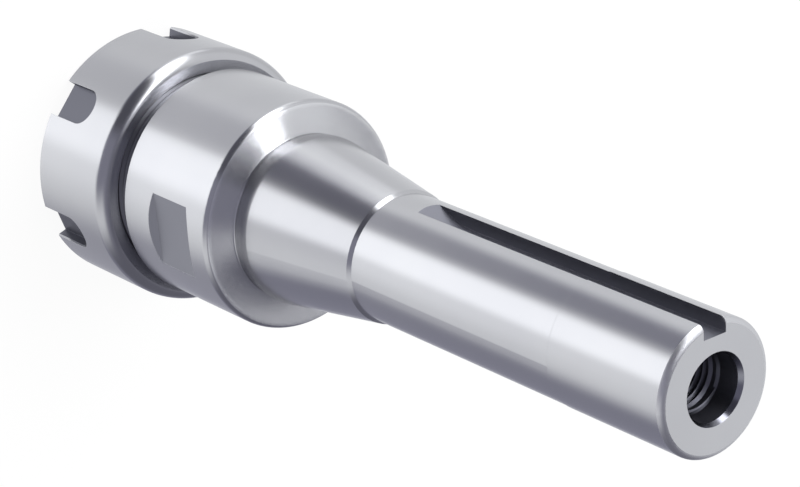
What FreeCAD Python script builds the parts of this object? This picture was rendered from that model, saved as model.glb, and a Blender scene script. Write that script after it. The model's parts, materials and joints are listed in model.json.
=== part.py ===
import FreeCAD, Part
import os
import re
import Sketcher

# A collet chuck on an R8 milling shank, in millimetres.
# It stands on the front face of its clamping nut: the origin is the centre of that face,
# +Z runs up the spindle axis to the drawbar end, and one wrench flat faces +X.

# Driving sizes: name, value, what it measures
SIZES = (
    # Stack along the axis, from the nut's face upwards
    ("nut_length", "21.5", "front face to crest of the rounded rear"),
    ("nut_gap", "3.1", "free nose between the tightened nut and the flange"),
    ("flange_length", "26.2", "flange between the nose and the neck"),
    ("neck_length", "3.2", "relieved neck between the flange and the taper's large end"),
    ("taper_length", "25.65", "ground taper along the axis"),
    ("foot_length", "0.75", "steep band between the taper and the straight shank"),
    ("straight_length", "77.8", "straight shank up to the drawbar end"),
    # Shank
    ("shank_diameter", "24.1", "ground pilot band at the drawbar end"),
    ("band_length", "26.6", "length of the pilot band"),
    ("shank_relief", "0.1", "radial relief of the shank below the pilot band"),
    ("taper_angle", "8.425", "half angle of the shank's taper, degrees"),
    ("foot_height", "0.51", "radial height of the steep band at the taper's foot"),
    ("taper_blend", "6", "radius of the blend from the taper to the neck"),
    ("neck_flare", "11.3", "slope of the relieved neck, degrees"),
    ("neck_fillet", "0.35", "radius at the neck's root"),
    ("end_break", "1.02", "broken edge at the drawbar end, each way"),
    ("end_round", "1.2", "radius of that broken edge"),
    ("key_width", "4.9", "keyway across its walls"),
    ("key_depth", "2.73", "keyway below the relieved shank"),
    ("key_length", "70.4", "keyway from the drawbar end to the end of its run-out"),
    ("key_cutter", "19", "radius of the cutter that leaves the run-out"),
    ("key_turn", "2.9", "keyway's turn from square with the wrench flats, degrees"),
    # Drawbar hole
    ("drawbar_diameter", "11.11", "major diameter of the drawbar thread"),
    ("drawbar_thread_depth", "0.66", "radial depth of the drawbar thread"),
    ("drawbar_thread_length", "32", "threaded length"),
    ("counterbore_step", "0.33", "counterbore's radius beyond the thread's"),
    ("counterbore_depth", "4.85", "depth of the smooth counterbore"),
    ("centre_depth", "0.89", "depth of the centre's countersink"),
    ("centre_angle", "30", "half angle of the centre and of the thread's lead-in, degrees"),
    # Flange
    ("shoulder_height", "2.0", "flange's radius beyond the nose thread's"),
    ("flange_round", "1.35", "radius of the flange's edge towards the shank"),
    ("flange_break", "0.3", "broken edge of the flange towards the nut"),
    ("flat_width", "10.4", "wrench flat along the axis, at its floor"),
    ("flat_drop", "6.75", "flange's shank side down to the flat's floor"),
    ("flat_depth", "1.22", "depth of each wrench flat"),
    # Nose and nut thread
    ("nose_wall", "3.5", "nose thread's radius beyond the collet's"),
    ("thread_depth", "0.92", "radial depth of the nose thread"),
    ("thread_gap", "0.08", "radial gap between the nose and the nut"),
    ("nose_relief_width", "2.0", "run-out groove between the thread and the flange"),
    ("nose_relief_depth", "0.35", "run-out groove below the thread's root"),
    ("nose_break", "1.0", "chamfer at the nose's end"),
    # Clamping nut
    ("nut_wall", "5.0", "nut's radius beyond the nose thread's"),
    ("rear_gap", "0.05", "radial gap around the thread at the nut's rear mouth"),
    ("nut_front_wall", "2.2", "nut's front wall below the extractor ring"),
    ("front_break", "0.4", "broken outer edge of the nut's face"),
    ("mouth_gap", "1.0", "nut's front mouth beyond the collet's rim"),
    ("mouth_break", "0.8", "chamfer of the nut's front mouth"),
    ("nut_relief_width", "1.6", "run-out groove in front of the nut's thread"),
    ("nut_relief_depth", "0.3", "that groove beyond the nose thread's radius"),
    ("slot_width", "7.15", "wrench slot across its walls"),
    ("slot_length", "12.0", "wrench slot from the nut's face to its round end"),
    ("slot_depth", "2.24", "depth of the wrench slot's flat floor"),
    ("slot_count", "6", "wrench slots around the nut"),
    ("slot_turn", "16.2", "first wrench slot from the wrench flat, degrees"),
    # Spring collet
    ("collet_diameter", "33", "collet's largest diameter"),
    ("collet_length", "40", "collet's overall length"),
    ("collet_recess", "0.4", "collet's face behind the nut's face"),
    ("collet_protrusion", "3.56", "largest diameter ahead of the nose's end"),
    ("seat_angle", "8", "half angle of the collet's seat, degrees"),
    ("seat_gap", "0.03", "gap between the collet and its seat, square to the cone"),
    ("seat_run_out", "1.2", "seat bore beyond the collet's rear end"),
    ("cone_angle", "30", "half angle of the collet's front cone, degrees"),
    ("cone_height", "2.1", "radial height of the front cone"),
    ("rim_length", "2.4", "front rim along the axis"),
    ("rim_drop", "2.9", "rim's radius below the largest radius"),
    ("groove_width", "2.6", "extraction groove along the axis"),
    ("groove_depth", "1.0", "extraction groove below the rim"),
    ("rim_break", "0.4", "chamfer of the rim"),
    ("tail_break", "0.6", "chamfer of the collet's rear edge"),
    ("tool_diameter", "16", "bore that grips the tool"),
    ("tool_break", "0.4", "chamfer at both ends of the tool bore"),
    ("collet_slot_count", "8", "slots from each end"),
    ("collet_slot_width", "1.1", "width of each slot"),
    ("tail_bridge", "6.0", "metal left behind the slots cut from the front"),
    ("front_bridge", "3.0", "metal left behind the front cone by the slots from the rear"),
    ("saw_radius", "25", "radius of the saw that leaves each slot's end"),
    # Bore behind the collet
    ("rear_bore_diameter", "21", "clearance bore behind the seat"),
    ("rear_bore_length", "24", "length of the clearance bore"),
    ("drill_angle", "59", "half angle of the drill point, degrees"),
    # Extractor ring and its wire
    ("ring_wall", "1.08", "ring's radius beyond the collet's"),
    ("ring_gap", "0.07", "radial gap between the ring and the nut"),
    ("ring_face_gap", "0.05", "axial gap between the ring and the nut's front wall"),
    ("ring_top_gap", "0.3", "nut's recess above the ring's top"),
    ("ring_drop", "0.4", "ring's top below the collet's largest diameter"),
    ("ring_mouth_gap", "0.6", "ring's front mouth beyond the collet's rim"),
    ("lip_offset", "0.5", "eccentricity of the extracting lip"),
    ("lip_gap", "0.1", "least radial gap between the lip and the groove"),
    ("lip_side_gap", "0.3", "axial gap on each side of the lip"),
    ("wire_diameter", "1.2", "retaining wire's thickness"),
    ("wire_seat_gap", "0.02", "gap between the wire and its round seat in the nut"),
    ("wire_side_gap", "0.2", "gap on each side of the wire in the ring's groove"),
    ("wire_drop", "2.4", "wire's centre below the ring's top"),
    ("wire_opening", "12", "opening of the wire's two ends, degrees"),
)
SIZE_NAMES = [name for name, text, note in SIZES]

# How far a cut starts outside the metal
PAST = "1"

doc = FreeCAD.newDocument("collet_chuck")
sheet = doc.addObject("Spreadsheet::Sheet", "Sizes")
for row, (name, text, note) in enumerate(SIZES, start=1):
    sheet.set("A%d" % row, text)
    sheet.setAlias("A%d" % row, name)
    sheet.set("B%d" % row, "'" + note)
doc.recompute()

# Heights along the axis, stacked up from the nut's face
FLANGE_LOW = "(nut_length + nut_gap)"
FLANGE_TOP = "(" + FLANGE_LOW + " + flange_length)"
TAPER_LOW = "(" + FLANGE_TOP + " + neck_length)"
TAPER_TOP = "(" + TAPER_LOW + " + taper_length)"
SHANK_LOW = "(" + TAPER_TOP + " + foot_length)"
TOP = "(" + SHANK_LOW + " + straight_length)"

# Radii of the shank and flange
BAND_R = "(shank_diameter / 2)"
SHANK_R = "(shank_diameter / 2 - shank_relief)"
TAPER_SMALL_R = "(" + SHANK_R + " + foot_height)"
TAPER_LARGE_R = "(" + TAPER_SMALL_R + " + taper_length * tan(taper_angle))"
NECK_R = "(" + TAPER_LARGE_R + " - (neck_length - neck_fillet) * tan(neck_flare))"
THREAD_R = "(collet_diameter / 2 + nose_wall)"
ROOT_R = "(" + THREAD_R + " - thread_depth)"
FLANGE_R = "(" + THREAD_R + " + shoulder_height)"
NUT_R = "(" + THREAD_R + " + nut_wall)"

# Radii and heights of the collet
COLLET_R = "(collet_diameter / 2)"
CONE_R = "(" + COLLET_R + " - cone_height)"
RIM_R = "(" + COLLET_R + " - rim_drop)"
GROOVE_R = "(" + RIM_R + " - groove_depth)"
RIM_TOP = "(collet_recess + rim_length)"
GROOVE_TOP = "(" + RIM_TOP + " + groove_width)"
WIDEST = "(" + GROOVE_TOP + " + cone_height / tan(cone_angle))"
COLLET_TOP = "(collet_recess + collet_length)"
TAIL_R = "(" + COLLET_R + " - (" + COLLET_TOP + " - " + WIDEST + ") * tan(seat_angle))"
NOSE_LOW = "(" + WIDEST + " + collet_protrusion)"

# The extractor ring, between the nut's front wall and the collet's widest place
RING_LOW = "(nut_front_wall + ring_face_gap)"
RING_TOP = "(" + WIDEST + " - ring_drop)"
RING_R = "(" + COLLET_R + " + ring_wall)"
RECESS_R = "(" + RING_R + " + ring_gap)"
LIP_R = "(" + GROOVE_R + " + lip_gap + lip_offset)"
LIP_LOW = "(" + RIM_TOP + " + lip_side_gap)"
LIP_TOP = "(" + GROOVE_TOP + " - lip_side_gap)"
WIRE_R = "(wire_diameter / 2)"
WIRE_HEIGHT = "(" + RING_TOP + " - wire_drop)"


def bound(expression):
    """The expression with each size's name written as its cell in the sheet."""
    words = re.split(r"(\w+)", expression)
    return "".join("Sizes." + word if word in SIZE_NAMES else word for word in words)


def number(expression):
    """What the expression comes to with the sheet's present sizes."""
    return float(sheet.evalExpression(expression))


def piece(name):
    """A new body that becomes one separate piece of the chuck."""
    body = doc.addObject("PartDesign::Body", name)
    body.Label = name
    return body


def origin_feature(body, role):
    """One of the body's own origin planes or axes."""
    return [item for item in body.Origin.OriginFeatures if item.Role == role][0]


def new_sketch(body, role, name, turn="0", shift="0"):
    """A sketch on an origin plane, turned about the chuck's axis or shifted off the plane."""
    sketch = body.newObject("Sketcher::SketchObject", name)
    sketch.AttachmentSupport = [(origin_feature(body, role), "")]
    sketch.MapMode = "FlatFace"
    upright = FreeCAD.Vector(0, 1, 0)
    spin = FreeCAD.Rotation(upright, number(turn))
    sketch.AttachmentOffset = FreeCAD.Placement(FreeCAD.Vector(), spin)
    sketch.setExpression("AttachmentOffset.Rotation.Angle", bound(turn))
    sketch.setExpression("AttachmentOffset.Base.x", bound("(" + shift + ") * sin(" + turn + ")"))
    sketch.setExpression("AttachmentOffset.Base.z", bound("(" + shift + ") * cos(" + turn + ")"))
    return sketch


def bind(sketch, kind, geometry, point, expression):
    """A distance from the sketch's origin to a point, bound to the sheet."""
    value = number(expression)
    index = sketch.addConstraint(Sketcher.Constraint(kind, -1, 1, geometry, point, value))
    sketch.setExpression("Constraints[%d]" % index, bound(expression))


def bind_radius(sketch, geometry, expression):
    """A circle's or arc's radius, bound to the sheet."""
    constraint = Sketcher.Constraint("Radius", geometry, number(expression))
    index = sketch.addConstraint(constraint)
    sketch.setExpression("Constraints[%d]" % index, bound(expression))


def arc_between(start, end, radius, turning):
    """The short arc from start to end; turning is 1 to the left, -1 to the right."""
    chord = end - start
    reach = max(radius ** 2 - chord.Length ** 2 / 4, 0) ** 0.5
    side = FreeCAD.Vector(-chord.y, chord.x, 0).normalize() * turning
    circle = Part.Circle((start + end) * 0.5 + side * reach, FreeCAD.Vector(0, 0, 1), radius)
    first, last = (start, end) if turning > 0 else (end, start)
    return Part.ArcOfCircle(circle, circle.parameter(first), circle.parameter(last))


def draw_loop(sketch, corners):
    """A closed outline. A corner is (x, y), or (x, y, radius, turning) after an arc."""
    points = [FreeCAD.Vector(number(corner[0]), number(corner[1]), 0) for corner in corners]
    ends = []
    for place, corner in enumerate(corners):
        start = points[place - 1]
        if len(corner) == 2:
            index = sketch.addGeometry(Part.LineSegment(start, points[place]), False)
            ends.append((index, 1, 2))
        else:
            arc = arc_between(start, points[place], number(corner[2]), corner[3])
            index = sketch.addGeometry(arc, False)
            bind_radius(sketch, index, corner[2])
            ends.append((index, 1, 2) if corner[3] > 0 else (index, 2, 1))
    for place, corner in enumerate(corners):
        index, first, last = ends[place]
        following, following_first, unused = ends[(place + 1) % len(ends)]
        link = Sketcher.Constraint("Coincident", index, last, following, following_first)
        sketch.addConstraint(link)
        bind(sketch, "DistanceX", index, last, corner[0])
        bind(sketch, "DistanceY", index, last, corner[1])


def draw_circle(sketch, x, y, radius):
    """A circle whose centre and radius are bound to the sheet."""
    centre = FreeCAD.Vector(number(x), number(y), 0)
    circle = Part.Circle(centre, FreeCAD.Vector(0, 0, 1), number(radius))
    index = sketch.addGeometry(circle, False)
    bind(sketch, "DistanceX", index, 3, x)
    bind(sketch, "DistanceY", index, 3, y)
    bind_radius(sketch, index, radius)


def turn_blank(body, name, corners):
    """A turned solid from an outline of radii and heights."""
    sketch = new_sketch(body, "XZ_Plane", name + "_outline")
    draw_loop(sketch, corners)
    blank = body.newObject("PartDesign::Revolution", name)
    blank.Profile = sketch
    blank.ReferenceAxis = (sketch, ["V_Axis"])
    blank.Angle = 360
    doc.recompute()
    return blank


def bore_out(body, name, corners):
    """A turned bore, cut from an outline of radii and heights."""
    before = body.Shape.Volume
    sketch = new_sketch(body, "XZ_Plane", name + "_outline")
    draw_loop(sketch, corners)
    cut = body.newObject("PartDesign::Groove", name)
    cut.Profile = sketch
    cut.ReferenceAxis = (sketch, ["V_Axis"])
    cut.Angle = 360
    return checked_cut(body, cut, before)


def mill(body, name, sketch, width):
    """A pocket cut equally to both sides of its sketch."""
    before = body.Shape.Volume
    cut = body.newObject("PartDesign::Pocket", name)
    cut.Profile = sketch
    cut.Type = "Length"
    cut.SideType = "Symmetric"
    cut.setExpression("Length", bound(width))
    return checked_cut(body, cut, before)


def mill_outward(body, name, sketch, depth):
    """A pocket cut from its sketch out along the sketch's normal."""
    before = body.Shape.Volume
    cut = body.newObject("PartDesign::Pocket", name)
    cut.Profile = sketch
    cut.Type = "Length"
    cut.Reversed = True
    cut.setExpression("Length", bound(depth))
    return checked_cut(body, cut, before)


def checked_cut(body, cut, before):
    """The cut, once it is sure that it took metal away."""
    doc.recompute()
    if not cut.Shape.Volume < before:
        raise RuntimeError(cut.Name + " cuts nothing")
    body.Tip = cut
    return cut


def repeat_around(body, name, cut, count):
    """Equal copies of a cut around the chuck's axis."""
    before = cut.Shape.Volume
    pattern = body.newObject("PartDesign::PolarPattern", name)
    pattern.Originals = [cut]
    pattern.Axis = (origin_feature(body, "Z_Axis"), [""])
    pattern.Angle = 360
    pattern.setExpression("Occurrences", bound(count))
    return checked_cut(body, pattern, before)


def make_chuck_body():
    """Shank, taper, flange and threaded nose, turned and ground as one piece."""
    body = piece("chuck_body")
    blend = "(taper_blend * tan((taper_angle + neck_flare) / 2))"
    band_low = TOP + " - band_length"
    turn_blank(body, "turned_blank", (
        ("0", NOSE_LOW),
        (ROOT_R + " - nose_break", NOSE_LOW),
        (ROOT_R, NOSE_LOW + " + nose_break"),
        (ROOT_R, FLANGE_LOW + " - nose_relief_width"),
        (ROOT_R + " - nose_relief_depth", FLANGE_LOW + " - nose_relief_width"),
        (ROOT_R + " - nose_relief_depth", FLANGE_LOW),
        (FLANGE_R + " - flange_break", FLANGE_LOW),
        (FLANGE_R, FLANGE_LOW + " + flange_break"),
        (FLANGE_R, FLANGE_TOP + " - flange_round"),
        (FLANGE_R + " - flange_round", FLANGE_TOP, "flange_round", 1),
        (NECK_R + " + neck_fillet", FLANGE_TOP),
        (NECK_R, FLANGE_TOP + " + neck_fillet", "neck_fillet", -1),
        (TAPER_LARGE_R + " - " + blend + " * sin(neck_flare)",
         TAPER_LOW + " - " + blend + " * cos(neck_flare)"),
        (TAPER_LARGE_R + " - " + blend + " * sin(taper_angle)",
         TAPER_LOW + " + " + blend + " * cos(taper_angle)", "taper_blend", 1),
        (TAPER_SMALL_R, TAPER_TOP),
        (SHANK_R, SHANK_LOW),
        (SHANK_R, band_low + " - shank_relief"),
        (BAND_R, band_low),
        (BAND_R, TOP + " - end_break"),
        (BAND_R + " - end_break", TOP, "end_round", 1),
        ("0", TOP),
    ))
    bore_out(body, "axis_bore", chuck_bore_outline())
    cut_keyway(body)
    cut_wrench_flats(body)
    return body


def chuck_bore_outline():
    """Collet seat, clearance bore, through hole and drawbar hole, from the nose upwards."""
    seat_gap = "seat_gap / cos(seat_angle)"
    seat_top = "(" + COLLET_TOP + " + seat_run_out)"
    mouth_r = "(" + COLLET_R + " - collet_protrusion * tan(seat_angle) + " + seat_gap + ")"
    seat_end_r = ("(" + COLLET_R + " - (" + seat_top + " - " + WIDEST + ") * tan(seat_angle) + "
                  + seat_gap + ")")
    rear_r = "(rear_bore_diameter / 2)"
    rear_top = "(" + seat_top + " + rear_bore_length)"
    thread_r = "(drawbar_diameter / 2)"
    hole_r = "(" + thread_r + " - drawbar_thread_depth)"
    counter_r = "(" + thread_r + " + counterbore_step)"
    counter_low = "(" + TOP + " - counterbore_depth)"
    lead = "(counterbore_step / tan(centre_angle))"
    thread_low = "(" + counter_low + " - drawbar_thread_length)"
    run_out = "(drawbar_thread_depth / tan(centre_angle))"
    return (
        ("0", NOSE_LOW + " - " + PAST),
        (mouth_r, NOSE_LOW + " - " + PAST),
        (mouth_r, NOSE_LOW),
        (seat_end_r, seat_top),
        (rear_r, seat_top),
        (rear_r, rear_top),
        (hole_r, rear_top + " + (" + rear_r + " - " + hole_r + ") / tan(drill_angle)"),
        (hole_r, thread_low),
        (thread_r, thread_low + " + " + run_out),
        (thread_r, counter_low + " - " + lead),
        (counter_r, counter_low),
        (counter_r, TOP + " - centre_depth"),
        (counter_r + " + centre_depth * tan(centre_angle)", TOP),
        (counter_r + " + centre_depth * tan(centre_angle)", TOP + " + " + PAST),
        ("0", TOP + " + " + PAST),
    )


def cut_keyway(body):
    """A keyway open at the drawbar end, with the round run-out of its cutter."""
    floor = "(" + SHANK_R + " - key_depth)"
    rise = "(key_depth + " + PAST + ")"
    low = "(" + TOP + " - key_length)"
    ramp = "sqrt(2 * key_cutter * key_depth - key_depth ^ 2)"
    past_ramp = "sqrt(2 * key_cutter * " + rise + " - " + rise + " ^ 2)"
    tangent = low + " + " + ramp
    sketch = new_sketch(body, "YZ_Plane", "keyway_side", turn="-key_turn")
    draw_loop(sketch, (
        ("-" + floor, TOP + " + " + PAST),
        ("-" + floor, tangent),
        ("-(" + floor + " + " + rise + ")", tangent + " - " + past_ramp, "key_cutter", -1),
        ("-(" + floor + " + " + rise + ")", TOP + " + " + PAST),
    ))
    mill(body, "keyway", sketch, "key_width")


def cut_wrench_flats(body):
    """Two opposite flats on the flange, with end walls that slope out at 45 degrees."""
    high = "(" + FLANGE_TOP + " - flat_drop)"
    low = "(" + high + " - flat_width)"
    rise = "(flat_depth + " + PAST + ")"
    sketch = new_sketch(body, "XZ_Plane", "wrench_flats_side")
    for sign in ("", "-"):
        floor = sign + "(" + FLANGE_R + " - flat_depth)"
        outside = sign + "(" + FLANGE_R + " + " + PAST + ")"
        draw_loop(sketch, (
            (floor, low),
            (outside, low + " - " + rise),
            (outside, high + " + " + rise),
            (floor, high),
        ))
    mill(body, "wrench_flats", sketch, "2 * " + FLANGE_R)


def make_clamping_nut():
    """Slotted nut: threaded over the nose, it drives the ring and collet into the seat."""
    body = piece("clamping_nut")
    rear_r = "(" + THREAD_R + " + rear_gap)"
    round_r = "((" + NUT_R + " - " + rear_r + ") / 2)"
    shoulder = "(nut_length - " + round_r + ")"
    minor_r = "(" + ROOT_R + " + thread_gap)"
    relief_r = "(" + THREAD_R + " + nut_relief_depth)"
    recess_top = "(" + RING_TOP + " + ring_top_gap)"
    relief_top = "(" + recess_top + " + nut_relief_width)"
    mouth_r = "(" + RIM_R + " + mouth_gap)"
    turn_blank(body, "turned_section", (
        (mouth_r + " + mouth_break", "0"),
        (NUT_R + " - front_break", "0"),
        (NUT_R, "front_break"),
        (NUT_R, shoulder),
        (NUT_R + " - " + round_r, "nut_length", round_r, 1),
        (rear_r, shoulder, round_r, 1),
        (minor_r, shoulder + " - (" + rear_r + " - " + minor_r + ")"),
        (minor_r, relief_top),
        (relief_r, relief_top),
        (relief_r, recess_top),
        (RECESS_R, recess_top),
        (RECESS_R, "nut_front_wall"),
        (mouth_r, "nut_front_wall"),
        (mouth_r, "mouth_break"),
    ))
    seat_r = "(" + WIRE_R + " + wire_seat_gap)"
    bore_out(body, "wire_seat", (
        (RECESS_R + " - " + PAST, WIRE_HEIGHT + " - " + seat_r),
        (RECESS_R, WIRE_HEIGHT + " - " + seat_r),
        (RECESS_R + " + " + seat_r, WIRE_HEIGHT, seat_r, 1),
        (RECESS_R, WIRE_HEIGHT + " + " + seat_r, seat_r, 1),
        (RECESS_R + " - " + PAST, WIRE_HEIGHT + " + " + seat_r),
    ))
    floor = NUT_R + " - slot_depth"
    sketch = new_sketch(body, "YZ_Plane", "wrench_slot_outline", turn="slot_turn", shift=floor)
    half = "(slot_width / 2)"
    straight = "(slot_length - " + half + ")"
    draw_loop(sketch, (
        ("-" + half, "-" + PAST),
        (half, "-" + PAST),
        (half, straight),
        ("0", "slot_length", half, 1),
        ("-" + half, straight, half, 1),
    ))
    slot = mill_outward(body, "wrench_slot", sketch, "slot_depth + " + PAST)
    repeat_around(body, "wrench_slots", slot, "slot_count")
    return body


def make_extractor_ring():
    """Slip ring: its cone drives the collet in, its eccentric lip draws it out."""
    body = piece("extractor_ring")
    mouth_r = "(" + RIM_R + " + ring_mouth_gap)"
    cone_gap = "seat_gap / cos(cone_angle)"
    low_cone_r = ("(" + CONE_R + " - (" + GROOVE_TOP + " - " + LIP_TOP + ") * tan(cone_angle) + "
                  + cone_gap + ")")
    top_cone_r = "(" + COLLET_R + " - ring_drop * tan(cone_angle) + " + cone_gap + ")"
    slot_half = "(" + WIRE_R + " + wire_side_gap)"
    turn_blank(body, "turned_section", (
        (mouth_r, RING_LOW),
        (RING_R, RING_LOW),
        (RING_R, WIRE_HEIGHT + " - " + slot_half),
        (RING_R + " - wire_diameter", WIRE_HEIGHT + " - " + slot_half),
        (RING_R + " - wire_diameter", WIRE_HEIGHT + " + " + slot_half),
        (RING_R, WIRE_HEIGHT + " + " + slot_half),
        (RING_R, RING_TOP),
        (top_cone_r, RING_TOP),
        (low_cone_r, LIP_TOP),
        (LIP_R + " - 2 * lip_offset", LIP_TOP),
        (LIP_R + " - 2 * lip_offset", LIP_LOW),
        (mouth_r, LIP_LOW),
    ))
    sketch = new_sketch(body, "XY_Plane", "lip_circle", shift=RING_LOW)
    draw_circle(sketch, "lip_offset", "0", LIP_R)
    mill_outward(body, "eccentric_lip", sketch, RING_TOP)
    return body


def make_retaining_wire():
    """Open snap ring that holds the extractor ring in the nut."""
    body = piece("retaining_wire")
    sketch = new_sketch(body, "XZ_Plane", "wire_section", turn="wire_opening / 2")
    draw_circle(sketch, RECESS_R, WIRE_HEIGHT, WIRE_R)
    wire = body.newObject("PartDesign::Revolution", "wire_ring")
    wire.Profile = sketch
    wire.ReferenceAxis = (sketch, ["V_Axis"])
    wire.setExpression("Angle", bound("360 - wire_opening"))
    doc.recompute()
    return body


def make_spring_collet():
    """Double-slotted spring collet that closes along its whole length."""
    body = piece("spring_collet")
    bore_r = "(tool_diameter / 2)"
    turn_blank(body, "turned_section", (
        (bore_r + " + tool_break", "collet_recess"),
        (RIM_R + " - rim_break", "collet_recess"),
        (RIM_R, "collet_recess + rim_break"),
        (RIM_R, RIM_TOP),
        (GROOVE_R, RIM_TOP),
        (GROOVE_R, GROOVE_TOP),
        (CONE_R, GROOVE_TOP),
        (COLLET_R, WIDEST),
        (TAIL_R + " + tail_break * tan(seat_angle)", COLLET_TOP + " - tail_break"),
        (TAIL_R + " - tail_break", COLLET_TOP),
        (bore_r + " + tool_break", COLLET_TOP),
        (bore_r, COLLET_TOP + " - tool_break"),
        (bore_r, "collet_recess + tool_break"),
    ))
    front_end = "(" + COLLET_TOP + " - tail_bridge)"
    front = new_sketch(body, "XZ_Plane", "front_slot_side")
    draw_loop(front, slot_side("(collet_recess - " + PAST + ")", front_end, 1))
    slot = mill(body, "front_slot", front, "collet_slot_width")
    repeat_around(body, "front_slots", slot, "collet_slot_count")
    rear_end = "(" + WIDEST + " + front_bridge)"
    rear = new_sketch(body, "XZ_Plane", "rear_slot_side", turn="180 / collet_slot_count")
    draw_loop(rear, slot_side("(" + COLLET_TOP + " + " + PAST + ")", rear_end, -1))
    slot = mill(body, "rear_slot", rear, "collet_slot_width")
    repeat_around(body, "rear_slots", slot, "collet_slot_count")
    return body


def slot_side(start, end, upwards):
    """One saw cut seen from its side: it ends on the saw's own arc, deeper at the outside."""
    outside = "(" + COLLET_R + " + " + PAST + ")"
    sweep = "sqrt(2 * saw_radius * " + outside + " - " + outside + " ^ 2)"
    inner_end = end + (" - " if upwards > 0 else " + ") + sweep
    return (("0", start), (outside, start), (outside, end), ("0", inner_end, "saw_radius", upwards))


def check_document():
    """Stop on any failed object or unsound solid before a file is written."""
    for item in doc.Objects:
        if "Invalid" in item.State or "Error" in item.State:
            raise RuntimeError(item.Name + " failed: " + ", ".join(item.State))
    for body in PIECES:
        if body.Shape.isNull() or not body.Shape.isValid():
            raise RuntimeError(body.Label + " has no sound shape")


def write_pieces():
    """One file for each piece, named as the piece."""
    os.makedirs("parts", exist_ok=True)
    for body in PIECES:
        body.Shape.exportStep("parts/" + body.Label + ".step")
        box = body.Shape.BoundBox
        print("%-16s %9.1f mm3  z %.2f to %.2f  %d solid"
              % (body.Label, body.Shape.Volume, box.ZMin, box.ZMax, len(body.Shape.Solids)))


PIECES = [
    make_chuck_body(),
    make_clamping_nut(),
    make_extractor_ring(),
    make_retaining_wire(),
    make_spring_collet(),
]
doc.recompute()
check_document()
write_pieces()
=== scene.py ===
import json
import math

import bpy
from mathutils import Matrix, Vector

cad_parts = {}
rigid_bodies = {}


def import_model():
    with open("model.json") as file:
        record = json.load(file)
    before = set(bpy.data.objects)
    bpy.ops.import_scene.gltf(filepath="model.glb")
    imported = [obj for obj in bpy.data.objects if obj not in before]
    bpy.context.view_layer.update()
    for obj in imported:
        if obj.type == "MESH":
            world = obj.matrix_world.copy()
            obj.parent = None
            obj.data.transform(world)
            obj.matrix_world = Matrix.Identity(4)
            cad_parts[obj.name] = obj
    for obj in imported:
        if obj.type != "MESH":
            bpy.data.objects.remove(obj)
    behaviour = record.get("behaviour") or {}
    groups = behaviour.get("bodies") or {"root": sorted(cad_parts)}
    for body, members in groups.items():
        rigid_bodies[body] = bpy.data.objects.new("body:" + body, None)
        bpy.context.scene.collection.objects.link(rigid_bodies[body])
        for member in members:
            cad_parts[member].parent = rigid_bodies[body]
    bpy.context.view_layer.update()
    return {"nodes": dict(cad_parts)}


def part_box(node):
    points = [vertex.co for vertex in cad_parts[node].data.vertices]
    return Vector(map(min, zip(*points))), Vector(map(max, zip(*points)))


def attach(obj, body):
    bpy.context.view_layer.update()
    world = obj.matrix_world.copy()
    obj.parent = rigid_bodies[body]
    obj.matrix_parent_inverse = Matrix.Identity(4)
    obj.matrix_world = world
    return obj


# A collet chuck of polished steel, on white. All lengths are in metres.
MM = 0.001

# Colours of the steels, and how rough each is
BODY_COLOUR = (0.54, 0.54, 0.55)
NUT_COLOUR = (0.51, 0.51, 0.52)
RING_COLOUR = (0.46, 0.46, 0.47)
WIRE_COLOUR = (0.42, 0.42, 0.43)
COLLET_COLOUR = (0.52, 0.52, 0.53)
BODY_ROUGHNESS = 0.20
NUT_ROUGHNESS = 0.21
RING_ROUGHNESS = 0.30
WIRE_ROUGHNESS = 0.28
COLLET_ROUGHNESS = 0.24

# Marks that turning and grinding leave run round the axis, so reflections are drawn out along it
TURNING_PITCH = 0.12 * MM
GRINDING_PITCH = 0.05 * MM
GROUND_DEPTH = 0.25e-6
COLLET_DEPTH = 0.4e-6
WIRE_DEPTH = 0.5e-6
TURNED_DEPTH = 1.0e-6
MARK_DETAIL = 3.0
DRAWN_OUT = 0.5
QUARTER_TURN = 0.25
SOFT_EDGE = 0.09 * MM
EDGE_SAMPLES = 4

# Clouds and scuffs, in patches for each metre, and what clouds, marks and scuffs add to roughness
CLOUD_SCALE = 60.0
CLOUD_DETAIL = 3.0
CLOUD_LOW = 0.3
CLOUD_HIGH = 0.7
CLOUD_SHADE = 0.965
SCUFF_SCALE = 900.0
SCUFF_DETAIL = 4.0
CLOUD_WEAR = 0.05
MARK_WEAR = 0.02
SCUFF_WEAR = 0.02
USUAL_WEAR = 0.045

# Milled places, and places of painted shade and painted light: how dark or light each is beside
# the ground steel, and the tint of a black one
MILLED_ROUGHNESS = 0.42
FLAT_SHADE = 0.58
SLOT_SHADE = 0.36
# Painted shade inside the drawbar bore and on its thread, deep in the hole
BORE_PAINTED_SHADE = 0.35
# Painted shade on the nose thread in the gap between nut and flange
NOSE_PAINTED_SHADE = 0.65
# Painted shade on the nut's rear next to the flange
NUT_REAR_PAINTED_SHADE = 0.72
# Painted light: the flange's rear face drawn lighter, for its bright reflections
FACE_PAINTED_LIGHT = 1.3
KEYWAY_SHADE = 0.48
# Painted shade that dims the highlight on the bore's chamfer
BORE_EDGE_PAINTED_SHADE = 0.5
# Painted light: the shank's end round drawn lighter, as a soft sheen
END_ROUND_PAINTED_LIGHT = 1.2
# A painted cool cast that darkened places take, painted shade and milled places alike
MILLED_AND_SHADE_TINT = (-0.08, -0.07, 0.12)

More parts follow.
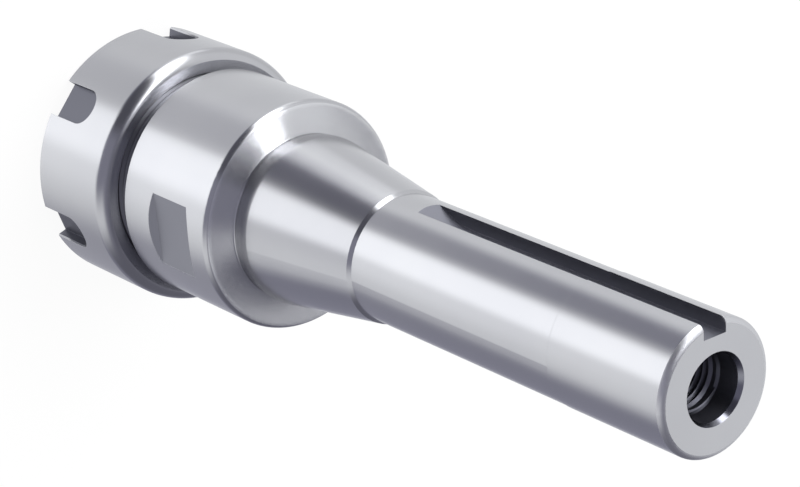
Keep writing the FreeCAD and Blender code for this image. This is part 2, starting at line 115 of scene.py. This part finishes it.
# Where they are. Each zone here and below is two radii and two heights over the nut's front
FLAT_ZONE = (20.5 * MM, 21.95 * MM, 30.0 * MM, 46.5 * MM)
SLOT_ZONE = (22.5 * MM, 24.57 * MM, -1.0 * MM, 12.05 * MM)
NOSE_ZONE = (17.5 * MM, 20.05 * MM, 12.0 * MM, 24.55 * MM)
BORE_ZONE = (-1.0 * MM, 6.45 * MM, 85.0 * MM, 157.3 * MM)
KEYWAY_ZONE = (9.1 * MM, 11.93 * MM, 87.0 * MM, 158.15 * MM)
BORE_EDGE_ZONE = (-1.0 * MM, 6.6 * MM, 157.3 * MM, 158.19 * MM)
END_ROUND_ZONE = (11.05 * MM, 12.1 * MM, 157.18 * MM, 158.19 * MM)
END_ROUND_LOW = 157.18 * MM

# Turned faces with grooves that fan out the light: the flange's towards the shank, and the
# nut's rear towards the flange
FACE_ZONE = (16.0 * MM, 21.4 * MM, 50.5 * MM, 50.9 * MM)
NUT_REAR_ZONE = (20.0 * MM, 23.0 * MM, 20.3 * MM, 21.6 * MM)
FACE_PITCH = 0.08 * MM
FACE_LEAN = 0.3
FACE_SLOPE = 0.8

# Turned shapes that the steel shades by their true form, because the mesh is coarse there
FLANGE_TOP = 50.8 * MM
FLANGE_ROUND = 1.35 * MM
NECK_FILLET = 0.35 * MM
NUT_SHOULDER = 19.025 * MM
NUT_ROUND = 2.475 * MM
NECK_LEAN = -math.sin(math.radians(11.3))
FLANGE_WALL_ZONE = (21.96 * MM, 22.1 * MM, 24.92 * MM, 49.45 * MM)
FLANGE_ROUND_ZONE = (20.65 * MM, 22.1 * MM, 49.45 * MM, 50.81 * MM)
FLANGE_FACE_ZONE = (16.04 * MM, 20.65 * MM, 50.79 * MM, 50.81 * MM)
NECK_FILLET_ZONE = (15.6 * MM, 16.04 * MM, 50.79 * MM, 51.15 * MM)
NECK_WALL_ZONE = (15.6 * MM, 16.3 * MM, 51.15 * MM, 52.977 * MM)
NUT_WALL_ZONE = (24.98 * MM, 25.1 * MM, 0.42 * MM, 19.025 * MM)
NUT_ROUND_ZONE = (23.0 * MM, 25.1 * MM, 19.025 * MM, 21.51 * MM)

# Nose thread, right-hand, on the root that the solid has
NOSE_PITCH = 1.5 * MM
NOSE_ROOT = 19.08 * MM
NOSE_CREST = 20.0 * MM
NOSE_CHAMFER = 1.0 * MM
NUT_TO_FLANGE = 3.1 * MM
NOSE_RELIEF = 2.0 * MM
NOSE_CREST_HEIGHT = 21.25 * MM
NOSE_CREST_ANGLE = math.radians(-34.8)

# Drawbar thread, right-hand, inside the hole that the solid has
DRAWBAR_PITCH = 25.4 / 20 * MM
DRAWBAR_MAJOR = 5.555 * MM
DRAWBAR_MINOR = 4.92 * MM
DRAWBAR_START = 5.45 * MM
DRAWBAR_LENGTH = 31.0 * MM

# Every thread here has flanks of 60 degrees and a crest flat of an eighth of its pitch
FLANK_ANGLE = math.radians(30)
CREST_SHARE = 1 / 8
STEPS_PER_TURN = 96
STEP_CORNERS = 4
THREAD_BITE = 0.03 * MM
FADE_TURNS = 0.35
SHARP_ANGLE = math.radians(25)

# Camera of the photograph: place, axes and lens
CAMERA_PLACE = Vector((283.535, -213.667, 455.123)) * MM
CAMERA_RIGHT = Vector((-0.76864, 0.09318, 0.63286))
CAMERA_UP = Vector((-0.32679, -0.90769, -0.26326))
FOCAL_PIXELS = 2905.48
IMAGE_WIDTH = 800
SENSOR_WIDTH = 36.0
CLIP_START = 0.01
CLIP_END = 50

# A white tent that only the steel shows. Its cards and lamps are laid over each other in this
# order, and their azimuths, heights, widths and fades are in degrees
TENT_COLOUR = (0.985, 1.0, 1.035)
DARK_TINT = (0.92, 0.92, 1.14)
SAFE_COSINE = 0.99999
PALE_CARDS = (
    dict(azimuth=-165, half_width=48, side_fade=30, low=-100, high=10, end_fade=20, light=0.87),
)
DARK_CARDS = (
    dict(azimuth=86, half_width=41, side_fade=36, low=-56, high=100, end_fade=24, light=0.34),
    dict(azimuth=84, half_width=38, side_fade=40, low=-22, high=100, end_fade=24, light=0.20),
    dict(azimuth=25, half_width=35, side_fade=20, low=38, high=100, end_fade=30, light=0.32),
    dict(azimuth=-25, half_width=36, side_fade=26, low=-26, high=100, end_fade=10, light=0.36),
    dict(azimuth=-82, half_width=20, side_fade=22, low=-49, high=-30, end_fade=10, light=0.34),
    dict(azimuth=-66, half_width=26, side_fade=14, low=-34, high=100, end_fade=10, light=0.13),
    dict(azimuth=0, half_width=200, side_fade=10, low=64, high=100, end_fade=24, light=0.25),
)
LAMPS = (
    dict(azimuth=-104, half_width=12, side_fade=9, low=-20, high=82, end_fade=24, light=4.5),
    dict(azimuth=-124, half_width=12, side_fade=10, low=-36, high=-14, end_fade=8, light=1.4),
    dict(azimuth=-12, half_width=32, side_fade=36, low=-90, high=-42, end_fade=16, light=1.35),
    dict(azimuth=-32, half_width=21, side_fade=16, low=-80, high=-24, end_fade=8, light=1.75),
    dict(azimuth=-44, half_width=15, side_fade=8, low=-80, high=-48, end_fade=4, light=1.7),
)

# Floor, plain light on what isn't shiny, and the lamp that makes the floor's shadow
FLOOR_HALF = 3.0
FLOOR_DROP = 0.05 * MM
FLOOR_COLOUR = (0.90, 0.90, 0.90, 1)
FLOOR_SHADE = 0.10
FLOOR_GLOW = 1.03
AMBIENT = 0.55
KEY_POWER = 9.0
KEY_SIZE = 0.9
KEY_PLACE = Vector((-0.45, -0.35, 1.2))


def clear_scene():
    """Take out whatever a new file starts with."""
    for item in list(bpy.data.objects):
        bpy.data.objects.remove(item)


def add_object(name, data):
    """A new object in the scene."""
    made = bpy.data.objects.new(name, data)
    bpy.context.scene.collection.objects.link(made)
    return made


class Nodes:
    """Short calls that add nodes to one tree and link them."""

    def __init__(self, tree):
        self.tree = tree
        tree.nodes.clear()

    def add(self, kind, **settings):
        node = self.tree.nodes.new(kind)
        for name, value in settings.items():
            setattr(node, name, value)
        return node

    def feed(self, socket, source):
        """Link another node's socket, or set a plain value."""
        if isinstance(source, bpy.types.NodeSocket):
            self.tree.links.new(source, socket)
        else:
            socket.default_value = source

    def math(self, operation, first, second=None, third=None, clamp=False):
        node = self.add("ShaderNodeMath", operation=operation, use_clamp=clamp)
        for place, source in enumerate((first, second, third)):
            if source is not None:
                self.feed(node.inputs[place], source)
        return node.outputs[0]

    def vector(self, operation, first, second=None, scale=None):
        node = self.add("ShaderNodeVectorMath", operation=operation)
        self.feed(node.inputs[0], first)
        if second is not None:
            self.feed(node.inputs[1], second)
        if scale is not None:
            self.feed(node.inputs["Scale"], scale)
        return node.outputs["Value" if operation == "DOT_PRODUCT" else "Vector"]

    def split(self, vector):
        """The three parts of a vector."""
        node = self.add("ShaderNodeSeparateXYZ")
        self.feed(node.inputs[0], vector)
        return node.outputs

    def ramp(self, value, low, high, low_out=0.0, high_out=1.0):
        """Smooth change from one output to another between two inputs."""
        node = self.add("ShaderNodeMapRange", interpolation_type="SMOOTHSTEP")
        self.feed(node.inputs["Value"], value)
        self.feed(node.inputs["From Min"], low)
        self.feed(node.inputs["From Max"], high)
        self.feed(node.inputs["To Min"], low_out)
        self.feed(node.inputs["To Max"], high_out)
        return node.outputs["Result"]

    def noise(self, dimensions, source, scale, detail):
        """Noise over a point, or over one distance where dimensions is 1D."""
        node = self.add("ShaderNodeTexNoise", noise_dimensions=dimensions)
        self.feed(node.inputs["W" if dimensions == "1D" else "Vector"], source)
        self.feed(node.inputs["Scale"], scale)
        self.feed(node.inputs["Detail"], detail)
        return node.outputs["Fac"]

    def mix(self, share, first, second):
        """The first colour, with a share of the second."""
        node = self.add("ShaderNodeMix", data_type="RGBA")
        self.feed(node.inputs["Factor"], share)
        self.feed(node.inputs["A"], first)
        self.feed(node.inputs["B"], second)
        return node.outputs["Result"]

    def mix_shaders(self, share, first, second):
        """The first shader, with a share of the second."""
        node = self.add("ShaderNodeMixShader")
        for place, source in enumerate((share, first, second)):
            self.feed(node.inputs[place], source)
        return node.outputs[0]

    def finish(self, kind, shader):
        """The tree's output."""
        output = self.add(kind)
        self.feed(output.inputs["Surface"], shader)


def within(nodes, radius, height, zone):
    """One inside a zone of radii and heights, and zero outside it."""
    inner, outer, low, high = zone
    held = nodes.math("GREATER_THAN", radius, inner)
    for operation, value, limit in (("LESS_THAN", radius, outer),
                                    ("GREATER_THAN", height, low),
                                    ("LESS_THAN", height, high)):
        held = nodes.math("MULTIPLY", held, nodes.math(operation, value, limit))
    return held


def chuck_cuts_and_painted_light(nodes, radius, height):
    """The chuck body's milled places, and its places of painted shade and painted light: where,
    how dark or light, and how rough at least.
    """
    past_end = nodes.math("MAXIMUM", nodes.math("SUBTRACT", height, END_ROUND_LOW), 0.0)
    keyway_radius = nodes.math("ADD", radius, past_end)
    return (
        # Painted light on the flange face and end round; painted shade in the bore, on its chamfer
        # and on the nose
        (within(nodes, radius, height, FACE_ZONE), FACE_PAINTED_LIGHT, BODY_ROUGHNESS),
        (within(nodes, radius, height, FLAT_ZONE), FLAT_SHADE, MILLED_ROUGHNESS),
        (within(nodes, radius, height, NOSE_ZONE), NOSE_PAINTED_SHADE, MILLED_ROUGHNESS),
        (within(nodes, radius, height, BORE_ZONE), BORE_PAINTED_SHADE, MILLED_ROUGHNESS),
        (within(nodes, radius, height, BORE_EDGE_ZONE), BORE_EDGE_PAINTED_SHADE, BODY_ROUGHNESS),
        (within(nodes, radius, height, END_ROUND_ZONE), END_ROUND_PAINTED_LIGHT, MILLED_ROUGHNESS),
        (within(nodes, keyway_radius, height, KEYWAY_ZONE), KEYWAY_SHADE, MILLED_ROUGHNESS),
    )


def nut_cuts_and_painted_shade(nodes, radius, height):
    """The nut's milled wrench slots, and the painted shade on its rear by the flange: where, how
    dark and how rough at least.
    """
    return (
        (within(nodes, radius, height, SLOT_ZONE), SLOT_SHADE, MILLED_ROUGHNESS),
        # Painted shade on the nut's rear beside the flange
        (within(nodes, radius, height, NUT_REAR_ZONE), NUT_REAR_PAINTED_SHADE, NUT_ROUGHNESS),
    )


def no_cuts(nodes, radius, height):
    """A piece that is turned and ground all over."""
    return ()


# A lean is how far a surface's normal points up, from -1 to 1. Each of these two gives its
# change for each metre of height, and its value at height zero

def straight(lean):
    """A wall or face that leans the same all over."""
    return 0.0, lean


def bent(centre, bend):
    """A round about the height of its centre, or a fillet where its radius is negative."""
    return 1 / bend, -centre / bend


CHUCK_SHAPES = (
    (FLANGE_WALL_ZONE, straight(0.0)),
    (FLANGE_ROUND_ZONE, bent(FLANGE_TOP - FLANGE_ROUND, FLANGE_ROUND)),
    (FLANGE_FACE_ZONE, straight(1.0)),
    (NECK_FILLET_ZONE, bent(FLANGE_TOP + NECK_FILLET, -NECK_FILLET)),
    (NECK_WALL_ZONE, straight(NECK_LEAN)),
)
NUT_SHAPES = (
    (NUT_WALL_ZONE, straight(0.0)),
    (NUT_ROUND_ZONE, bent(NUT_SHOULDER, NUT_ROUND)),
    (NUT_REAR_ZONE, straight(1.0)),
)


def way_out(nodes, place):
    """The way straight out from the axis."""
    level = nodes.vector("MULTIPLY", place, (1, 1, 0))
    turned = nodes.add("ShaderNodeVectorTransform", vector_type="VECTOR",
                       convert_from="OBJECT", convert_to="WORLD")
    nodes.feed(turned.inputs[0], level)
    return nodes.vector("NORMALIZE", turned.outputs[0])


def turned_normal(nodes, out, radius, height, normal, shapes):
    """The turned shape's own normal in place of the mesh's, with the soft edges kept."""
    held = 0.0
    lean = 0.0
    for zone, (rate, start) in shapes:
        inside = within(nodes, radius, height, zone)
        here = nodes.math("MULTIPLY_ADD", height, rate, start)
        held = nodes.math("ADD", held, inside)
        lean = nodes.math("MULTIPLY_ADD", inside, here, lean)
    lean = nodes.math("MINIMUM", lean, 1.0)
    level = nodes.math("SQRT", nodes.math("SUBTRACT", 1.0, nodes.math("MULTIPLY", lean, lean)))
    upward = nodes.add("ShaderNodeCombineXYZ")
    nodes.feed(upward.inputs["Z"], lean)
    true = nodes.vector("ADD", nodes.vector("SCALE", out, scale=level), upward.outputs[0])
    mesh_normal = nodes.add("ShaderNodeNewGeometry").outputs["Normal"]
    change = nodes.vector("SCALE", nodes.vector("SUBTRACT", true, mesh_normal), scale=held)
    return nodes.vector("NORMALIZE", nodes.vector("ADD", normal, change))


def fanned_normal(nodes, out, radius, height, normal, zone):
    """The turned face's grooves: its normal swings to and fro along the radius."""
    swing = nodes.math("SINE", nodes.math("MULTIPLY", radius, math.tau / FACE_PITCH))
    slope = nodes.math("MULTIPLY_ADD", swing, FACE_SLOPE, FACE_LEAN)
    slope = nodes.math("MULTIPLY", slope, within(nodes, radius, height, zone))
    lean = nodes.vector("SCALE", out, scale=slope)
    return nodes.vector("NORMALIZE", nodes.vector("ADD", normal, lean))


def steel(name, colour, roughness, pitch, mark_depth, shade_zones=no_cuts, shapes=(), face=None):
    """Polished steel with fine rings left by the tool, a little uneven in polish and tone.

    A piece with true shapes also has a face whose grooves fan out the light. Its zones
    make milled places darker, and paint shade and light onto others.
    """
    material = bpy.data.materials.new(name)
    material.use_nodes = True
    nodes = Nodes(material.node_tree)
    place = nodes.add("ShaderNodeTexCoord").outputs["Object"]
    across, along, height = nodes.split(place)
    squares = nodes.math("ADD", nodes.math("MULTIPLY", across, across),
                         nodes.math("MULTIPLY", along, along))
    radius = nodes.math("SQRT", squares)

    cloud = nodes.noise("3D", place, CLOUD_SCALE, CLOUD_DETAIL)
    rings = nodes.noise("1D", height, 1 / pitch, MARK_DETAIL)
    circles = nodes.noise("1D", radius, 1 / pitch, MARK_DETAIL)
    marks = nodes.math("ADD", rings, circles)
    scuffs = nodes.noise("3D", place, SCUFF_SCALE, SCUFF_DETAIL)

    shade = nodes.ramp(cloud, CLOUD_LOW, CLOUD_HIGH, CLOUD_SHADE, 1.0)
    finish = nodes.math("MULTIPLY_ADD", cloud, CLOUD_WEAR, roughness - USUAL_WEAR)
    finish = nodes.math("MULTIPLY_ADD", marks, MARK_WEAR, finish)
    finish = nodes.math("MULTIPLY_ADD", scuffs, SCUFF_WEAR, finish)
    # Each zone darkens milled steel, paints shade, or paints light, and sets a least roughness
    for held, zone_shade, cut_roughness in shade_zones(nodes, radius, height):
        shade = nodes.math("MULTIPLY", shade,
                           nodes.math("MULTIPLY_ADD", held, zone_shade - 1, 1.0))
        duller = nodes.math("MULTIPLY", held, cut_roughness)
        finish = nodes.math("MAXIMUM", finish, duller)
    # Darkened places, the painted shade among them, take a bluish tint
    darker = nodes.math("SUBTRACT", 1.0, shade, clamp=True)
    tint = nodes.vector("ADD", nodes.vector("SCALE", MILLED_AND_SHADE_TINT, scale=darker), (1, 1, 1))
    tone = nodes.vector("MULTIPLY", nodes.vector("SCALE", colour, scale=shade), tint)

    edge = nodes.add("ShaderNodeBevel", samples=EDGE_SAMPLES)
    nodes.feed(edge.inputs["Radius"], SOFT_EDGE)
    bump = nodes.add("ShaderNodeBump")
    nodes.feed(bump.inputs["Strength"], 1.0)
    nodes.feed(bump.inputs["Distance"], mark_depth)
    nodes.feed(bump.inputs["Height"], marks)
    nodes.feed(bump.inputs["Normal"], edge.outputs[0])
    normal = bump.outputs[0]
    if shapes:
        out = way_out(nodes, place)
        normal = turned_normal(nodes, out, radius, height, normal, shapes)
        normal = fanned_normal(nodes, out, radius, height, normal, face)

    shader = nodes.add("ShaderNodeBsdfPrincipled")
    nodes.feed(shader.inputs["Base Color"], tone)
    nodes.feed(shader.inputs["Metallic"], 1.0)
    nodes.feed(shader.inputs["Roughness"], finish)
    nodes.feed(shader.inputs["Anisotropic"], DRAWN_OUT)
    nodes.feed(shader.inputs["Anisotropic Rotation"], QUARTER_TURN)
    nodes.feed(shader.inputs["Normal"], normal)
    around = nodes.add("ShaderNodeTangent", direction_type="RADIAL", axis="Z")
    nodes.feed(shader.inputs["Tangent"], around.outputs[0])
    nodes.finish("ShaderNodeOutputMaterial", shader.outputs[0])
    return material


def finish_node(node, material):
    """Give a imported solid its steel."""
    for slot in node.material_slots:
        slot.material = material


def thread(name, start, turns, pitch, root, crest, angle, material):
    """A helical ridge from one radius to another; crest under root makes it an inner thread."""
    growth = 1 if crest > root else -1
    depth = abs(crest - root) + THREAD_BITE
    half_crest = pitch * CREST_SHARE / 2
    half_base = half_crest + depth * math.tan(FLANK_ANGLE)
    base = root - growth * THREAD_BITE
    steps = int(turns * STEPS_PER_TURN)
    corners = []
    faces = []
    for step in range(steps + 1):
        turned = step / STEPS_PER_TURN
        to_end = min(turned, turns - turned)
        share = min(1.0, to_end / FADE_TURNS)
        tip = base + (crest - base) * share
        flank = half_base + (half_crest - half_base) * share
        middle = start + turned * pitch
        direction = angle + turned * math.tau
        for radius, offset in ((base, -half_base), (tip, -flank), (tip, flank), (base, half_base)):
            corners.append((radius * math.cos(direction), radius * math.sin(direction),
                            middle + offset))
    for step in range(steps):
        for side in range(STEP_CORNERS - 1):
            here = step * STEP_CORNERS + side
            there = here + STEP_CORNERS
            ring = (here, there, there + 1, here + 1)
            faces.append(ring if growth > 0 else ring[::-1])
    mesh = bpy.data.meshes.new(name)
    mesh.from_pydata(corners, [], faces)
    mesh.shade_smooth()
    mesh.set_sharp_from_angle(angle=SHARP_ANGLE)
    mesh.materials.append(material)
    return add_object(name, mesh)


def make_threads(material):
    """Nose thread under the nut, and the drawbar thread inside the shank's end."""
    chuck_low, chuck_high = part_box("chuck_body")
    nut_low, nut_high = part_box("clamping_nut")
    first = chuck_low.z + NOSE_CHAMFER
    last = nut_high.z + NUT_TO_FLANGE - NOSE_RELIEF
    turns = (last - first) / NOSE_PITCH
    turned = (first - NOSE_CREST_HEIGHT) / NOSE_PITCH * math.tau
    nose = thread("nose_thread", first, turns, NOSE_PITCH, NOSE_ROOT, NOSE_CREST,
                  NOSE_CREST_ANGLE + turned, material)
    top = chuck_high.z - DRAWBAR_START
    turns = DRAWBAR_LENGTH / DRAWBAR_PITCH
    drawbar = thread("drawbar_thread", top - DRAWBAR_LENGTH, turns, DRAWBAR_PITCH,
                     DRAWBAR_MAJOR, DRAWBAR_MINOR, 0.0, material)
    for made in (nose, drawbar):
        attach(made, "chuck")


def make_camera():
    """The photograph's camera."""
    data = bpy.data.cameras.new("camera")
    data.sensor_fit = "HORIZONTAL"
    data.sensor_width = SENSOR_WIDTH
    data.lens = FOCAL_PIXELS / IMAGE_WIDTH * SENSOR_WIDTH
    data.clip_start = CLIP_START
    data.clip_end = CLIP_END
    camera = add_object("camera", data)
    right = CAMERA_RIGHT.normalized()
    back = right.cross(CAMERA_UP).normalized()
    up = back.cross(right)
    axes = Matrix((right, up, back)).transposed().to_4x4()
    camera.matrix_world = Matrix.Translation(CAMERA_PLACE) @ axes
    bpy.context.scene.camera = camera


def card(nodes, under, level, elevation, tint,
         azimuth, half_width, side_fade, low, high, end_fade, light):
    """What lies under, with a card or lamp over it, for a level way and an elevation."""
    turned = math.radians(azimuth)
    aim = (math.cos(turned), math.sin(turned), 0.0)
    facing = nodes.vector("DOT_PRODUCT", level, aim)
    aside = nodes.math("ARCCOSINE", nodes.math("MULTIPLY", facing, SAFE_COSINE))
    near = math.radians(half_width - side_fade / 2)
    far = math.radians(half_width + side_fade / 2)
    share = nodes.ramp(aside, near, far, 1.0, 0.0)
    fade = math.radians(end_fade) / 2
    bottom = math.radians(low)
    top = math.radians(high)
    share = nodes.math("MULTIPLY", share, nodes.ramp(elevation, bottom - fade, bottom + fade))
    share = nodes.math("MULTIPLY", share, nodes.ramp(elevation, top - fade, top + fade, 1.0, 0.0))
    return nodes.mix(share, under, (*[light * part for part in tint], 1))


def make_tent(nodes, towards):
    """White tent with its cards and lamps, as the steel shows it."""
    level = nodes.vector("NORMALIZE", nodes.vector("MULTIPLY", towards, (1, 1, 0)))
    elevation = nodes.math("ARCSINE", nodes.split(towards)[2])
    tent = nodes.add("ShaderNodeRGB").outputs[0]
    tent.default_value = (*TENT_COLOUR, 1)
    for tint, cards in ((TENT_COLOUR, PALE_CARDS), (DARK_TINT, DARK_CARDS), (TENT_COLOUR, LAMPS)):
        for settings in cards:
            tent = card(nodes, tent, level, elevation, tint, **settings)
    return tent


def make_world():
    """White for the camera, the tent in the steel, and plain light elsewhere."""
    world = bpy.data.worlds.new("studio")
    world.use_nodes = True
    bpy.context.scene.world = world
    nodes = Nodes(world.node_tree)
    towards = nodes.add("ShaderNodeTexCoord").outputs["Generated"]
    rays = nodes.add("ShaderNodeLightPath").outputs
    tent = make_tent(nodes, towards)
    unseen = nodes.mix(rays["Is Glossy Ray"], (AMBIENT, AMBIENT, AMBIENT, 1), tent)
    seen = nodes.math("MAXIMUM", rays["Is Camera Ray"], rays["Is Transmission Ray"])
    light = nodes.add("ShaderNodeBackground")
    nodes.feed(light.inputs["Color"], nodes.mix(seen, unseen, (1, 1, 1, 1)))
    nodes.finish("ShaderNodeOutputWorld", light.outputs[0])


def make_floor():
    """A white floor that keeps a soft shadow, clear from below."""
    material = bpy.data.materials.new("floor_white")
    material.use_nodes = True
    nodes = Nodes(material.node_tree)
    lit = nodes.add("ShaderNodeBsdfDiffuse")
    nodes.feed(lit.inputs["Color"], FLOOR_COLOUR)
    white = nodes.add("ShaderNodeEmission")
    nodes.feed(white.inputs["Color"], (1, 1, 1, 1))
    nodes.feed(white.inputs["Strength"], FLOOR_GLOW)
    rays = nodes.add("ShaderNodeLightPath").outputs
    shown = nodes.math("MAXIMUM", rays["Is Camera Ray"], rays["Is Glossy Ray"])
    shown = nodes.math("MAXIMUM", shown, rays["Is Transmission Ray"])
    share = nodes.math("MULTIPLY", shown, 1 - FLOOR_SHADE)
    above = nodes.mix_shaders(share, lit.outputs[0], white.outputs[0])
    backfacing = nodes.add("ShaderNodeNewGeometry").outputs["Backfacing"]
    clear = nodes.add("ShaderNodeBsdfTransparent").outputs[0]
    nodes.finish("ShaderNodeOutputMaterial", nodes.mix_shaders(backfacing, above, clear))

    half = FLOOR_HALF
    mesh = bpy.data.meshes.new("floor")
    corners = [(-half, -half, 0), (half, -half, 0), (half, half, 0), (-half, half, 0)]
    mesh.from_pydata(corners, [], [(0, 1, 2, 3)])
    mesh.materials.append(material)
    floor = add_object("floor", mesh)
    floor.location.z = -FLOOR_DROP
    floor.visible_glossy = False


def make_key_lamp():
    """One large soft lamp overhead."""
    data = bpy.data.lights.new("key_lamp", "AREA")
    data.shape = "DISK"
    data.size = KEY_SIZE
    data.energy = KEY_POWER
    lamp = add_object("key_lamp", data)
    lamp.location = KEY_PLACE
    lamp.rotation_mode = "QUATERNION"
    lamp.rotation_quaternion = (-KEY_PLACE).to_track_quat("-Z", "Y")
    lamp.visible_glossy = False


clear_scene()
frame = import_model()

body_steel = steel("body_steel", BODY_COLOUR, BODY_ROUGHNESS, GRINDING_PITCH, GROUND_DEPTH,
                   shade_zones=chuck_cuts_and_painted_light, shapes=CHUCK_SHAPES, face=FACE_ZONE)
nut_steel = steel("nut_steel_fine", NUT_COLOUR, NUT_ROUGHNESS, GRINDING_PITCH, GROUND_DEPTH,
                  shade_zones=nut_cuts_and_painted_shade, shapes=NUT_SHAPES, face=NUT_REAR_ZONE)
ring_steel = steel("ring_steel_turned", RING_COLOUR, RING_ROUGHNESS, TURNING_PITCH, TURNED_DEPTH)
wire_steel = steel("wire_steel_drawn", WIRE_COLOUR, WIRE_ROUGHNESS, TURNING_PITCH, WIRE_DEPTH)
collet_steel = steel("collet_steel_ground", COLLET_COLOUR, COLLET_ROUGHNESS, GRINDING_PITCH,
                     COLLET_DEPTH)
finish_node(frame["nodes"]["chuck_body"], body_steel)
finish_node(frame["nodes"]["clamping_nut"], nut_steel)
finish_node(frame["nodes"]["extractor_ring"], ring_steel)
finish_node(frame["nodes"]["retaining_wire"], wire_steel)
finish_node(frame["nodes"]["spring_collet"], collet_steel)

make_threads(body_steel)
make_floor()
make_world()
make_key_lamp()
make_camera()
bpy.context.scene.view_settings.view_transform = "Standard"
